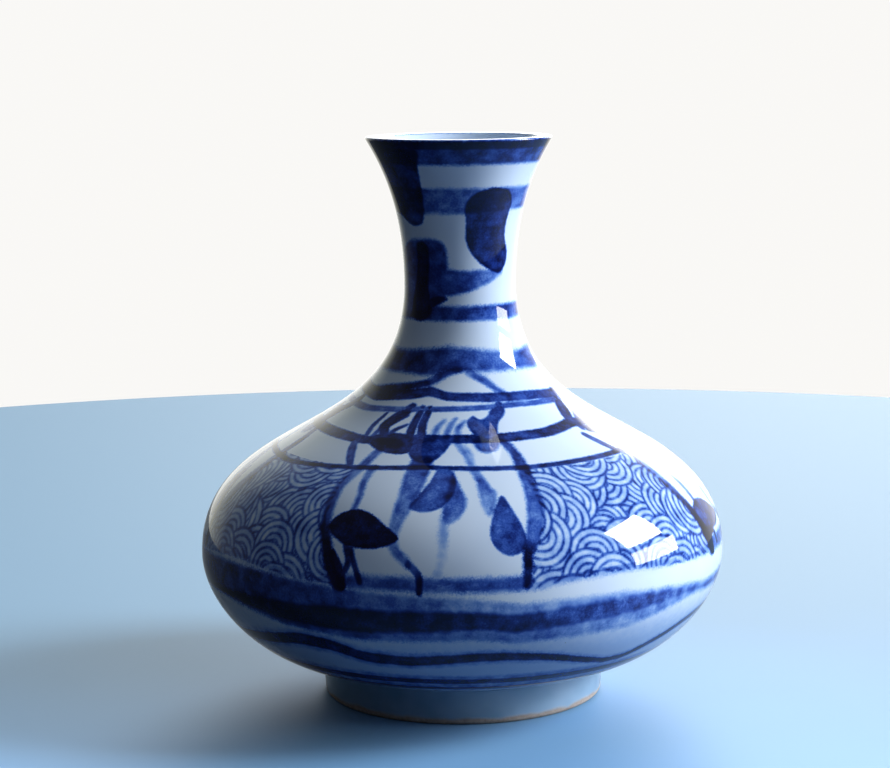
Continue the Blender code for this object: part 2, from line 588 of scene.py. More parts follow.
def paint_rim_and_neck():
    arc_band("line", RIM_ARC + 1.45, arc_at(98.2), 0.8)
    arc_band("wash", RIM_ARC + 3.2, RIM_ARC + 1.4, 0.56)
    arc_band("shape", RIM_ARC + 3.7, RIM_ARC + 2.75, 0.85)
    arc_band("shape", RIM_ARC + 1.35, arc_at(95.5), 0.73)
    band("shape", 91.4, [(-180, 86.9), (0, 86.9), (70, 87.5), (120, 87.0)], 0.56)
    band("shape", 70.8, 68.2,
         [(-180, 0.84), (-90, 0.72), (-45, 0.92), (-20, 0.74), (60, 0.66), (120, 0.78)])
    for turn in (0, 180):
        paint_neck_leaf(turn)
        paint_neck_dome(turn)


def paint_neck_leaf(turn):
    """Dark bean-shaped leaf that hangs on the neck."""
    outline = [(22, 91.1), (32, 91.4), (45, 90.7), (51, 88.7), (50, 86.9), (48, 84.7),
               (49, 82.5), (54, 80), (53, 78), (45, 76.4), (36, 76.6), (27, 77.4), (18, 78.6),
               (10, 80.4), (6, 82.6), (6, 85.5), (5, 87.7), (8, 89.4), (13, 90.4)]
    blot("line", turned(outline, turn), 0.87)


def paint_neck_dome(turn):
    """Dark shape that hangs from the rim, and the dome with a tail below it."""
    blob = [(-96, 99), (-98, 92), (-84, 87.5), (-64, 86.4), (-52, 85.0), (-44, 84.7),
            (-36, 85.2), (-32, 87.4), (-31, 91.0), (-30, 95.0), (-29, 98.2), (-60, 99)]
    dome = [(-76, 69), (-78, 76), (-72, 80), (-59, 81.8), (-45, 82.4), (-30, 82.5), (-19, 82.1),
            (-14, 81.0), (-12, 79.0), (-12, 76), (-13, 72.8), (-26, 70.6), (-50, 68.4)]
    core = [(-46, 81.5), (-37, 81.9), (-32, 80.6), (-32, 78), (-34, 74.3), (-31, 71.7),
            (-30, 69.4), (-42, 68), (-54, 69), (-55, 71.4), (-50, 75), (-47, 78)]
    blot("line", turned(blob, turn), 0.8)
    blot("shape", turned(dome, turn), 0.7)
    blot("line", turned(core, turn), 0.82)
    stroke("shape", turned([(-16, 74.9), (-4, 74.9), (8, 75.1), (20, 75.5), (32, 76.0),
                            (44, 76.6)], turn),
           [4.9, 4.3, 3.7, 3.0, 2.2, 1.4], [0.7, 0.68, 0.66, 0.6, 0.5, 0.4])
    stroke("line", turned([(-30, 71.2), (-22, 71.8), (-14, 72)], turn), [1.8, 1.4, 0.6], 0.8)


def paint_collar():
    """Bands and swags between the neck and the panels."""
    band("wash", [
        (-180, 63.8), (-120, 64.4), (-61, 62.8), (-32, 63.4), (-7, 64.0), (12, 63.5), (32, 62.9),
        (57, 62.6), (90, 63.6), (130, 63.2)
    ], [
        (-180, 59.5), (-100, 59.0), (-59, 59.3), (-38, 59.3), (-20, 59.1), (-10, 60.1),
        (4, 60.1), (14, 59.7), (47, 59.8), (90, 59.2), (140, 59.6)
    ], [(-180, 0.72), (-60, 0.84), (-20, 0.74), (30, 0.62), (90, 0.66)])
    ring_line([
        (-180, 55.4, 1.6), (-130, 55.0, 1.4), (-90, 55.8, 1.6), (-53, 54.6, 1.7),
        (-29, 55.4, 1.6), (-18, 56.0, 1.5), (-8, 55.4, 1.3), (14, 55.1, 1.4), (43, 54.9, 1.4),
        (63, 54.5, 1.4), (110, 55.6, 1.4), (150, 54.9, 1.3)
    ], [(-180, 0.7), (-50, 0.88), (-10, 0.76), (40, 0.7)])
    ring_line([
        (-180, 54.2, 0.7), (-90, 53.7, 0.7), (-53, 53.0, 0.9), (-19, 53.7, 0.8),
        (30, 54.1, 0.8), (60, 53.9, 0.8), (120, 54.2, 0.8)
    ], 0.6)
    ring_line([
        (-180, 50.0, 1.0), (-130, 49.0, 0.9), (-90, 49.6, 1.0), (-53, 49.0, 1.2),
        (-40, 48.8, 1.1), (-25, 49.1, 1.1), (-14, 49.5, 1.1), (18, 49.5, 1.2), (36, 49.7, 1.2),
        (52, 50.4, 1.2), (90, 49.7, 1.0), (135, 50.3, 1.0)
    ], 0.82)
    panel_top = [(-180, 45.7), (-120, 46.0), (-60, 44.8), (-38, 45.4), (-11, 46.1), (20, 45.8),
                 (60, 46.1), (120, 45.7)]
    band("line", raised(panel_top, 0.6), panel_top, 0.8)
    for turn, side in ((0, 1), (120, -1), (240, 1)):
        stroke("shape", turned([(-61, 56.4), (-44, 56.9), (-28, 57.6), (-19, 58.3), (-12, 59.4),
                                (-2, 60.2), (8, 60.2)], turn, side),
               [1.2, 1.7, 1.7, 1.6, 1.6, 1.3, 0.7], [0.9, 0.88, 0.82, 0.76, 0.76, 0.7, 0.6])
        stroke("shape", turned([(6, 59.8), (16, 58.3), (22, 57.0), (28, 55.9)], turn, side),
               [1.5, 1.5, 1.3, 1.0], [0.6, 0.56, 0.56, 0.6])


def paint_lower_bands():
    """Thick band with a wash round it, thin wavy band, and two lines above the foot."""
    top = ring_curve([
        (-180, 24.6), (-120, 24.2), (-62, 24.0), (-43, 24.8), (-30, 25.2), (0, 25.5),
        (12, 24.7), (21, 25.4), (36, 25.9), (49, 25.0), (64, 23.4), (100, 24.8), (140, 25.4)])
    bottom = ring_curve([
        (-180, 21.6), (-120, 22.6), (-62, 23.2), (-50, 22.5), (-39, 21.5), (-22, 21.2),
        (-6, 21.9), (4, 22.4), (10, 21.6), (25, 22.3), (44, 23.2), (54, 23.7), (66, 23.2),
        (100, 21.8), (140, 22.2)])
    wash_above = [
        (-180, 1.5), (-110, 0.3), (-80, 4.6), (-62, 5.2), (-45, 4.6), (-30, 3.6), (-15, 2.8),
        (15, 1.6), (40, 0.5), (64, 0.9), (100, 0.4), (140, 2.4)]
    wash_below = [(-180, 0.5), (-62, 0.4), (-30, 1.2), (20, 2.2), (36, 2.6), (60, 0.6),
                  (120, 1.6)]
    band("shape", top, bottom,
         [(-180, 0.72), (-60, 0.82), (-20, 0.82), (12, 0.68), (28, 0.4), (64, 0.34),
          (110, 0.72)])
    band("shape", raised(top, -0.9), raised(bottom, 0.5),
         [(-180, 0.5), (-60, 0.6), (0, 0.46), (30, 0.14), (64, 0.06), (110, 0.5)])
    band("wash", raised(top, wash_above), raised(bottom, wash_below, -1),
         [(-180, 0.4), (-100, 0.4), (-75, 0.74), (-50, 0.76), (-25, 0.62), (0, 0.44),
          (30, 0.4), (60, 0.44), (110, 0.3), (150, 0.5)])
    middle = ring_curve([
        (-180, 15.6), (-150, 17.2), (-115, 18.0), (-90, 15.4), (-62, 15.5), (-50, 16.7),
        (-38, 18.3), (-30, 18.1), (-22, 16.3), (-12, 16.0), (3, 17.0), (10, 17.0), (20, 16.2),
        (28, 14.8), (36, 13.5), (42, 13.6), (50, 15.5), (60, 17.5), (70, 18.5), (100, 17.0),
        (140, 14.6)])
    width = [(-180, 1.4), (-110, 2.2), (-70, 1.4), (-35, 2.3), (0, 1.7), (36, 1.0), (70, 1.2),
             (110, 1.9), (150, 0.9)]
    for layer, reach, strength in (("line", 0.5, 0.76), ("wash", 0.8, 0.3)):
        band(layer, raised(middle, width, reach), raised(middle, width, -reach), strength)
    band("line", 12.0, 10.8, 0.7)
    band("line", 9.7, 9.0, 0.62)
    band("wash", 12.8, 8.7, 0.3)


# Azimuth of the front panel's middle, whose points the other panels repeat
FRONT_PANEL = -7


def paint_panel(turn, side, drop):
    """White panel with vines at its sides and leaf sprays hanging in it.

    turn is from the front panel, a side of -1 mirrors it, and drop lowers its broad leaf and
    makes its ink lighter, as a painted reflection haze.
    """
    shift = turn + (1 - side) * FRONT_PANEL

    def line(points, width, strength, layer="line"):
        stroke(layer, turned(points, shift, side), width, strength)

    def leaf(outline, strength, layer="line"):
        blot(layer, turned(outline, shift, side), strength)

    # Vines
    line([(-28, 49), (-30, 47), (-31, 45.7), (-33, 43.6), (-33, 42), (-32, 38.9), (-30, 35.6),
          (-28, 32.2), (-26, 28.9)], [1.6, 1.8, 2, 2, 2, 2, 2, 2.2, 1.8],
         [0.6, 0.56, 0.5, 0.5, 0.56, 0.7, 0.9, 0.98, 0.95], "shape")
    line([(13, 49.9), (16, 49.4), (17.6, 48.2), (18.2, 47.1), (18.2, 45.9), (18, 44.8),
          (18, 43.4), (17.7, 41.5), (16.7, 39.1), (15.2, 36.7), (13.8, 34.6), (13.4, 31.9),
          (13, 29.6)],
         [1.2, 1.6, 1.8, 2.1, 2.2, 2.3, 2.5, 2.9, 2.9, 2.5, 1.9, 1.6, 1.3],
         [0.8, 0.76, 0.72, 0.7, 0.66, 0.62, 0.58, 0.56, 0.58, 0.64, 0.86, 0.96, 1.0], "shape")
    # Broad leaf at the left. Its ink is lighter the larger the drop: a painted reflection haze,
    # strongest on the second panel
    broad = [(-30.5, 38.4), (-28.5, 39.8), (-25, 40.5), (-21, 40), (-17, 38.5), (-13.8, 36.9),
             (-15, 35.9), (-18, 35.2), (-21, 35), (-25, 35.2), (-28, 36.2), (-30, 37.2)]
    leaf([(azimuth, height - drop) for azimuth, height in broad], 0.98 - 0.06 * abs(drop))
    line([(-27, 46), (-27, 44.1), (-26, 42.4), (-26, 40.2 - drop)], [1.5, 1.3, 1.1, 1.0],
         0.56, "shape")
    line([(-25, 35.1 - drop), (-24, 32.6), (-26, 29.2)], [1.2, 1.1, 1], 0.8)
    line([(-24, 34.9 - drop), (-22, 31.6), (-21, 29.8)], [1.1, 1, 0.9], 0.8)
    line([(-28, 33.8), (-26, 31.4), (-25, 28.8)], [1.6, 2, 1.6], 0.95)
    # Middle spray
    line([(-12.4, 47), (-12.8, 45.4), (-13.4, 42.6), (-14.6, 39.4), (-15, 36.9), (-14, 35),
          (-11, 33)],
         [3.8, 4.0, 3.4, 2.3, 1.7, 1.6, 1.4], [0.7, 0.6, 0.56, 0.5, 0.42, 0.44, 0.56], "shape")
    line([(-11, 33), (-9, 31.5), (-8.6, 30), (-8.6, 28.4)], [1.2, 1.2, 1.1, 0.9],
         [0.56, 0.72, 0.84, 0.92])
    leaf([(-6.5, 46.4), (-8.5, 44.6), (-10.5, 43), (-12.6, 41.2), (-10, 40.6), (-7, 40.7),
          (-4, 41.6), (-1.6, 43.6), (-2.2, 45.8)], 0.64)
    leaf([(-2.4, 45.6), (-0.2, 43.8), (1.2, 42.2), (0.2, 40.4), (-2.2, 39.1), (-4.2, 39.6),
          (-4.4, 41.6), (-3.4, 44)], 0.6, "shape")
    line([(-4, 39.8), (-4, 37), (-4, 34.6), (-4.4, 33), (-5, 31.2)], [1.2, 1.3, 1.2, 1.0, 1.4],
         [0.5, 0.4, 0.28, 0.16, 0.24], "wash")
    # Right spray
    line([(-1, 49.4), (2, 47.7), (4, 45.7), (6, 43.9), (6.6, 41)], [1.3, 1.2, 1.5, 1.9, 1.8],
         [0.56, 0.46, 0.5, 0.56, 0.62], "shape")
    leaf([(4, 45.5), (6.4, 44.2), (8.8, 43.2), (7.8, 41), (6, 40), (4.6, 42)], 0.5, "shape")
    leaf([(10, 42.7), (8, 41.2), (6.4, 38.9), (6.1, 36.9), (7.6, 35), (10, 34.2), (12.4, 34.7),
          (13.8, 36.2), (13.4, 38.4), (11.8, 40.9)], 0.68)
    # Leaves over the panel
    leaf([(-38, 49.8), (-34, 48.8), (-28, 48.1), (-21, 47.9), (-17, 48.5), (-17, 50.2),
          (-28, 50.6)], 0.86)
    leaf([(-33, 49.7), (-29, 48.7), (-23, 48.6), (-21, 49.4), (-26, 50)], 1.0, "shape")
    leaf([(-20, 50.4), (-18, 48.2), (-15, 47.2), (-11, 46.9), (-8, 47.4), (-5, 48.7),
          (-3.4, 50.2), (-10, 50.6)], 0.74)
    leaf([(20, 55.2), (23, 54.6), (21, 53.2), (17, 52.2), (15, 51), (14, 50), (10, 49.7),
          (6, 50.3), (3.4, 51.4), (2.6, 52.4), (5.6, 53.2), (8.6, 52.7), (12, 53), (15, 54)],
         0.72)
    leaf([(5, 50), (14, 49.8), (13, 48.7), (9.6, 48.2), (6.4, 48.4), (4.6, 49.2)], 0.62,
         "shape")
    line([(-20, 49.9), (-21, 51.7), (-20, 54.3)], [1.6, 1.6, 1.2], 0.84)
    line([(-15, 49.9), (-17, 52.1), (-16, 54.3)], [1.5, 1.6, 1.2], 0.78)
    for start, middle, end in (((-39, 49.9), (-40, 51.4), (-38, 53.2)),
                               ((-36, 50), (-34, 51.4), (-26, 53)),
                               ((-30, 50), (-28, 51), (-24, 51.8))):
        line([start, middle, end], [1.0, 1.0, 0.7], 0.72)
    for azimuth, height in ((-9, 52.6), (-4, 52.8), (0, 52.4)):
        line([(azimuth - 2, 49.9), (azimuth - 1, 51.6), (azimuth + 1.5, height)],
             [1.2, 1.1, 0.7], 0.5, "shape")
    line([(-35, 46), (-39, 47.7), (-42, 49.2)], [1.2, 1.7, 1.3], 0.66)
    line([(1, 49.1), (3, 48), (3, 46.6)], 0.9, 0.4, "shape")
    line([(62, 54.4), (58, 53), (54, 51.4), (57, 50.2), (60, 49)], [1.6, 2.6, 2.2, 1.6, 1.2],
         0.8)
    # Painted base line, which runs on under the waves
    line([(-27, 29.8), (-14, 29.8), (-4, 29.8), (6, 29.8), (14, 29.9)], 2.4, 0.62, "wash")
    line([(14, 29.6), (24, 30.6), (36, 31), (50, 30.3), (70, 29.6)], 2.0, 0.4, "wash")


# Turns of the four panels, and of the first again. The wave fields lie between them.
PANEL_TURNS = (0, 94, 183, 272, 360)
# Each panel's side and drop, as paint_panel takes them
PANEL_STYLES = ((1, 0.0), (1, 3.0), (-1, 1.0), (1, -0.8))
FIRST_SEED = 11
QUARTER = 90

# Edges of the first wave field
FIELD_START = 17
FIELD_END = 59
FIELD_TOP = 45.9
FIELD_LOWEST = 28.0
FIELD_LEFT = ((28, 14), (32, 14.4), (35, 15.2), (37, 16.8), (39, 18.2), (41, 18.9),
              (44, 18.5), (46, 18.4))
FIELD_RIGHT = ((28, 63), (32, 61.5), (36, 59), (40, 57.5), (44, 56.5), (46, 58))
FIELD_BOTTOM = ((14, 28.8), (21, 29.8), (35, 30.3), (52, 29.2), (66, 29.0))

# Layout of the fans. The spreads are of angles in radians, or of places in millimetres.
FAN_FOCI = ((FIELD_START - 4, 39), (27, 26), (38, 50), (46, 26), (FIELD_END + 5, 37))
FOCUS_RINGS = 8
FIRST_RING = 0.4
FAN_RISE = 3.1
FAN_SPACING = 5.7
FAN_PITCH = (1.1, 1.32)
FACING_SPREAD = 0.05
TURN_SPREAD = 0.25
ARC_SPREAD = 0.3
ORDER_SPREAD = 0.8

FAN_RINGS = 4
FAN_LINE = 0.19
FAN_BACK = 0.35
FAN_INK = 0.66
OUTLINE_INK = 0.8
FAN_TINT = 0.21
GAP_TINT = 0.5
SHADE_TINT = 0.42
SHADE_REACH = 0.9
INSIDE_GAP = -0.6


def paint_waves(turn, extra, seed):
    """Field of overlapping wave fans between two panels.

    Fans stand in rings round a few foci and face away from them, the inner over the outer.
    extra is how many degrees the field is wider than the first one's quarter turn gives.
    """
    random = np.random.default_rng(seed)
    stretch = 1 + extra / (FIELD_END - FIELD_START)
    foci = [(FIELD_START + (azimuth - FIELD_START) * stretch, arc_at(height))
            for azimuth, height in FAN_FOCI]
    fans = []
    for home, (azimuth, arc) in enumerate(foci):
        for ring in range(FOCUS_RINGS):
            away = (ring + FIRST_RING) * FAN_RISE
            count = max(1, round(2 * np.pi * away / FAN_SPACING))
            for index in range(count):
                facing = (2 * np.pi * (index + ring % 2 / 2) / count
                          + random.normal(0, FACING_SPREAD))
                fan_arc = arc + away * np.sin(facing) + random.normal(0, ARC_SPREAD)
                scale = np.radians(radius_at(np.clip(fan_arc, 0, RIM_ARC)))
                fan_azimuth = azimuth + away * np.cos(facing) / scale
                gaps = [np.hypot((fan_azimuth - other) * scale, fan_arc - other_arc)
                        for other, other_arc in foci]
                turned_by, pitch = random.normal(0, TURN_SPREAD), random.uniform(*FAN_PITCH)
                if np.argmin(gaps) == home:
                    fans.append((random.normal(0, ORDER_SPREAD) - away, fan_azimuth, fan_arc,
                                 facing + turned_by, pitch))
    paint_fans(sorted(fans), turn, extra)


def paint_fans(fans, turn, extra):
    """Lay the fans over each other in order, and keep the lines that still show."""
    ends = (FIELD_START - 4 + turn, FIELD_END + 6 + turn + extra)
    for canvas, (rows, columns, azimuth, arc, scale) in windows(
            ends, (arc_at(FIELD_LOWEST), arc_at(FIELD_TOP)), 0.0):
        local = azimuth - turn
        line = np.full((len(rows), len(columns)), INSIDE_GAP)
        strength = np.full(line.shape, OUTLINE_INK)
        shade = np.full(line.shape, GAP_TINT)
        for _, fan_azimuth, fan_arc, facing, pitch in fans:
            reach = pitch * FAN_RINGS
            across = (local - fan_azimuth) * scale
            along = (arc - fan_arc)[:, None]
            away = np.hypot(across, along)
            ahead = across * np.cos(facing) + along * np.sin(facing)
            inside = (away < reach) & (ahead > -FAN_BACK * reach)
            ring = np.maximum(np.round(away / pitch), 1)
            drawn = np.abs(away - ring * pitch) - FAN_LINE
            line = np.where(inside, drawn, np.minimum(line, np.abs(away - reach) - FAN_LINE))
            strength = np.where(inside, FAN_INK, strength)
            near = 1 - np.clip((away - reach) / SHADE_REACH, 0, 1)
            shade = np.where(inside, FAN_TINT,
                             np.maximum(shade, near * (ahead > 0) * SHADE_TINT))
        outside = field_gap(local, arc, scale, extra)
        canvas.lay("line", rows, columns, np.maximum(line, outside), strength)
        canvas.lay("wash", rows, columns, outside, shade)


def field_gap(azimuth, arc, scale, extra):
    """Distance outside the wave field's edges, negative inside."""
    height = np.interp(arc, TABLE_ARCS, TABLE_HEIGHTS)
    left, right = (np.interp(height, *zip(*edge))[:, None] for edge in (FIELD_LEFT, FIELD_RIGHT))
    bottom = np.interp(azimuth, *zip(*FIELD_BOTTOM))
    fade = np.maximum(arc_at(bottom) - arc[:, None], arc[:, None] - arc_at(FIELD_TOP))
    return np.maximum(fade, np.maximum(left - azimuth, azimuth - right - extra) * scale)


def paint_everything():
    paint_rim_and_neck()
    paint_collar()
    paint_lower_bands()
    for index, (side, drop) in enumerate(PANEL_STYLES):
        turn, next_turn = PANEL_TURNS[index:index + 2]
        paint_waves(turn, next_turn - turn - QUARTER, seed=FIRST_SEED + index)
        paint_panel(turn, side, drop)


# ------------------------------------------------------------------------ materials

def node(tree, kind, inputs=None, **settings):
    """Adds a shader node, sets its properties, and fills or links its inputs."""
    made = tree.nodes.new(f"ShaderNode{kind}")
    for key, value in settings.items():
        setattr(made, key, value)
    for key, value in (inputs or {}).items():
        if isinstance(value, bpy.types.NodeSocket):
            tree.links.new(value, made.inputs[key])
        else:
            made.inputs[key].default_value = value
    return made


def connect(tree, shader, **sockets):
    """Links a value to each named socket of a shader."""
    for key, value in sockets.items():
        tree.links.new(value, shader.inputs[key.replace("_", " ")])


def math(tree, operation, *values, clamp=False):
    return node(tree, "Math", dict(enumerate(values)), operation=operation,
                use_clamp=clamp).outputs[0]


def mix(tree, factor, first, second):
    """Blend of two colours, from the first at 0 to the second at 1."""
    return node(tree, "Mix", {"Factor": factor, "A": first, "B": second},
                data_type="RGBA").outputs["Result"]


def object_place(tree):
    return node(tree, "TexCoord").outputs["Object"]


def axes_of(tree, place):
    return node(tree, "SeparateXYZ", {"Vector": place}).outputs


def noise(tree, size, detail=2.0, roughness=0.5, stretch=(1, 1, 1)):
    """Noise between 0 and 1, with features of about the given size in millimetres."""
    mapped = node(tree, "Mapping", {"Vector": object_place(tree), "Scale": stretch})
    return node(tree, "TexNoise", {"Vector": mapped.outputs[0], "Scale": 1 / (size * MM),
                                   "Detail": detail, "Roughness": roughness}).outputs["Fac"]


def spread(tree, value, low, high, out_low=0.0, out_high=1.0, smooth=True):
    """Map a value from one range to another."""
    return node(tree, "MapRange",
                {"Value": value, "From Min": low, "From Max": high, "To Min": out_low,
                 "To Max": out_high},
                interpolation_type="SMOOTHSTEP" if smooth else "LINEAR").outputs[0]


def centred(tree, value, low, high):
    """Map a value from a range to between -0.5 and 0.5."""
    return spread(tree, value, low, high, -0.5, 0.5, smooth=False)


def colour_ramp(tree, value, stops):
    ramp = node(tree, "ValToRGB", {"Fac": value})
    elements = ramp.color_ramp.elements
    while len(elements) < len(stops):
        elements.new(0.5)
    for element, (position, colour) in zip(elements, stops):
        element.position = position
        element.color = (*colour, 1.0)
    return ramp.outputs["Color"]


def bump(tree, height, strength, depth):
    """Normal of a relief with a depth in millimetres."""
    return node(tree, "Bump", {"Height": height, "Strength": strength,
                               "Distance": depth * MM}).outputs["Normal"]


def new_material(name, **sockets):
    material = bpy.data.materials.new(name)
    material.use_nodes = True
    shader = material.node_tree.nodes["Principled BSDF"]
    for key, value in sockets.items():
        shader.inputs[key.replace("_", " ")].default_value = value
    return material, material.node_tree, shader


# Colour of ink from none to the strongest
INK_RAMP = (
    (0.0, (0.66, 0.78, 0.95)),
    (0.18, (0.38, 0.55, 0.87)),
    (0.38, (0.15, 0.30, 0.72)),
    (0.58, (0.035, 0.10, 0.46)),
    (0.74, (0.010, 0.032, 0.22)),
    (0.88, (0.004, 0.010, 0.075)),
    (1.0, (0.003, 0.004, 0.025)),
)
EDGE_SOFTNESS = {"wash": 0.8, "shape": 0.55, "line": 0.3}
EDGE_WAVER = 0.7
EDGE_GRAIN = 0.75
RIM_REACH = (-1.1, -0.15)
RIM_INK = 0.02
INK_POOLING = 0.32
INK_STREAKS = 0.06
INK_GRAIN = 0.14
BODY_TINT = 0.035

# Blue tint low on the body: partly pooled glaze, partly a painted reflection of the blue floor
POOL_AND_REFLECTION_TOP = 24.0
POOL_AND_REFLECTION_LOW = 16.0
POOL_AND_REFLECTION_WAVER = 3.0
POOL_AND_REFLECTION_BLUE = 0.2

SPECK_SPACING = 3.4
SPECK_COLOUR = (0.13, 0.11, 0.10, 1.0)


def painted_porcelain():
    """White porcelain, cobalt ink in three layers, and clear glaze over both."""
    material, tree, shader = new_material(
        "painted_porcelain", Metallic=0.0, Coat_Weight=1.0, Coat_Roughness=0.035,
        Coat_IOR=1.5, Specular_IOR_Level=0.0)
    waver = centred(tree, noise(tree, 1.1), 0.0, 1.0)
    grain = centred(tree, noise(tree, 0.35, 3.0, 0.65), 0.3, 0.7)
    pooling = centred(tree, noise(tree, 2.4), 0.25, 0.75)
    streaks = centred(tree, noise(tree, 1.4, stretch=(0.22, 0.22, 1.6)), 0.25, 0.75)
    clear = 1.0
    for layer in LAYERS:
        ink = layer_ink(tree, layer, waver, grain, pooling, streaks)
        clear = math(tree, "MULTIPLY", clear, math(tree, "SUBTRACT", 1.0, ink))
    # Low on the body the white turns bluer: pooled glaze and a painted reflection of the floor
    clear = math(tree, "MULTIPLY", clear, glaze_pool_and_reflection(tree, waver))
    ink = math(tree, "SUBTRACT", 1.0, clear, clamp=True)
    body = spread(tree, noise(tree, 14.0), 0.3, 0.7, 0.0, BODY_TINT, smooth=False)
    ink = math(tree, "MAXIMUM", ink, body)
    uneven = math(tree, "MULTIPLY_ADD", ink, 0.10, 0.36)
    relief = glaze_relief(tree)
    connect(tree, shader, Base_Color=add_specks(tree, colour_ramp(tree, ink, INK_RAMP)),
            Roughness=math(tree, "MULTIPLY_ADD", grain, 0.06, uneven),
            Normal=relief, Coat_Normal=relief)
    return material


def layer_ink(tree, layer, waver, grain, pooling, streaks):
    """Ink of one painted layer, with wavering edges and uneven strength."""
    distance, strength = (
        node(tree, "Attribute", attribute_name=f"{layer}_{kind}").outputs["Fac"]
        for kind in ("distance", "strength"))
    soft = EDGE_SOFTNESS[layer]
    distance = math(tree, "MULTIPLY_ADD", waver, soft * EDGE_WAVER, distance)
    distance = math(tree, "MULTIPLY_ADD", grain, soft * EDGE_GRAIN, distance)
    cover = spread(tree, distance, -soft, soft, 1.0, 0.0)
    ink = math(tree, "ADD", strength, spread(tree, distance, *RIM_REACH, -RIM_INK, RIM_INK))
    for unevenness, amount in ((pooling, INK_POOLING), (streaks, INK_STREAKS),
                               (grain, INK_GRAIN)):
        ink = math(tree, "MULTIPLY_ADD", unevenness, amount, ink)
    return math(tree, "MULTIPLY", ink, cover, clamp=True)


def glaze_pool_and_reflection(tree, waver):
    """How clear the glaze is: slightly blue low on the body, partly pooled glaze and partly a
    painted reflection of the blue floor.
    """
    height = axes_of(tree, object_place(tree))["Z"]
    level = math(tree, "MULTIPLY_ADD", waver, POOL_AND_REFLECTION_WAVER * MM, height)
    return spread(tree, level, POOL_AND_REFLECTION_TOP * MM, POOL_AND_REFLECTION_LOW * MM, 1.0,
                  1 - POOL_AND_REFLECTION_BLUE)


def add_specks(tree, colour):
    """Sparse grey-brown iron specks under the glaze."""
    cells = node(tree, "TexVoronoi",
                 {"Vector": object_place(tree), "Scale": 1 / (SPECK_SPACING * MM)})
    chance = node(tree, "SeparateColor", {"Color": cells.outputs["Color"]}).outputs[0]
    rare = spread(tree, chance, 0.9, 0.92)
    dot = spread(tree, cells.outputs["Distance"], 0.02, 0.05, 0.5, 0.0)
    return mix(tree, math(tree, "MULTIPLY", rare, dot), colour, SPECK_COLOUR)


def glaze_relief(tree):
    """Faint unevenness of a hand-dipped glaze."""
    broad = noise(tree, 9.0, 1.0, 0.4, (1, 1, 1.6))
    fine = noise(tree, 0.9, 1.0)
    return bump(tree, math(tree, "MULTIPLY_ADD", fine, 0.025, broad), 0.35, 0.06)


FOOT_GLAZE_END = 1.1
FOOT_GLAZE_EDGE = 0.4
FOOT_GLAZE_WAVER = 0.7
FOOT_GLAZE_COLOURS = ((0.3, (0.20, 0.36, 0.53)), (0.7, (0.32, 0.48, 0.65)))
FIRED_LINE_WIDTH = 0.9
FIRED_LINE_COLOUR = (0.30, 0.19, 0.12, 1.0)
CLAY_COLOURS = ((0.25, (0.30, 0.26, 0.235)), (0.55, (0.47, 0.42, 0.385)),
                (0.8, (0.58, 0.53, 0.49)))
SLIP_COLOURS = ((0.3, (0.62, 0.60, 0.56)), (0.7, (0.76, 0.75, 0.71)))


def foot_porcelain():
    """Glazed on its upper side, and bare fired clay where it stands."""
    material, tree, shader = new_material(
        "bare_porcelain", Metallic=0.0, Coat_Roughness=0.06, Coat_IOR=1.5,
        Specular_IOR_Level=0.3)
    waver = centred(tree, noise(tree, 5.0, 3.0), 0.25, 0.75)
    height = axes_of(tree, object_place(tree))["Z"]
    level = math(tree, "MULTIPLY_ADD", waver, FOOT_GLAZE_WAVER * MM, height)
    glazed = spread(tree, level, (FOOT_GLAZE_END - FOOT_GLAZE_EDGE) * MM,
                    (FOOT_GLAZE_END + FOOT_GLAZE_EDGE) * MM)
    bare = math(tree, "SUBTRACT", 1.0, glazed)
    line = spread(tree, level, (FOOT_GLAZE_END - FIRED_LINE_WIDTH) * MM, FOOT_GLAZE_END * MM,
                  0.0, 0.55)
    clay = mix(tree, math(tree, "MULTIPLY", line, bare),
               colour_ramp(tree, noise(tree, 0.6, 4.0, 0.7), CLAY_COLOURS), FIRED_LINE_COLOUR)
    glaze = colour_ramp(tree, noise(tree, 8.0), FOOT_GLAZE_COLOURS)
    grit = math(tree, "MULTIPLY", noise(tree, 0.3, 3.0, 0.7), bare)
    connect(tree, shader, Base_Color=mix(tree, glazed, clay, glaze), Coat_Weight=glazed,
            Roughness=spread(tree, glazed, 0, 1, 0.8, 0.35, smooth=False),
            Normal=bump(tree, grit, 0.5, 0.12))
    return material


def slip_material():
    """Dry slip of the joints, which the sections hide."""
    material, tree, shader = new_material("luting_slip", Roughness=0.8, Metallic=0.0)
    connect(tree, shader,
            Base_Color=colour_ramp(tree, noise(tree, 0.8, 3.0, 0.6), SLIP_COLOURS),
            Normal=bump(tree, noise(tree, 0.4), 0.4, 0.1))
    return material


# ------------------------------------------------------------------------- sections

def wall_canvas(low, high, spacing, columns, over_lip=False):
    """Places on the outer wall and the canvas over them, which may go on over the lip."""
    places = places_between(low, high, spacing)
    arcs = arc_of(places)
    radii = radius_at(arcs)
    if over_lip:
        inside = places_between(LIP_INSIDE, LIP_START, spacing)[::-1][1:]
        beyond = np.concatenate((LIP_ARCS[1:], LIP_ARCS[-1] + RIM_ARC - arc_of(inside)))
        arcs = np.concatenate((arcs, arcs[-1] + beyond))
        radii = np.concatenate((radii, np.full(len(beyond), MOUTH_RADIUS)))
    canvas = Canvas(arcs, radii, columns)
    CANVASES.append(canvas)
    return places, canvas


def joined(first, *others):
    """One run from several that meet smoothly."""
    return tuple(np.concatenate((first[part], *(run[part][1:] for run in others)))
                 for part in (0, 1))


def fillet_start():
    """Place on the wall where the fillet of the foot ends."""
    rising = TABLE_PLACES < 1
    return float(np.interp(FOOT_TOP_RADIUS + FOOT_FILLET, TABLE_RADII[rising],
                           TABLE_PLACES[rising]))


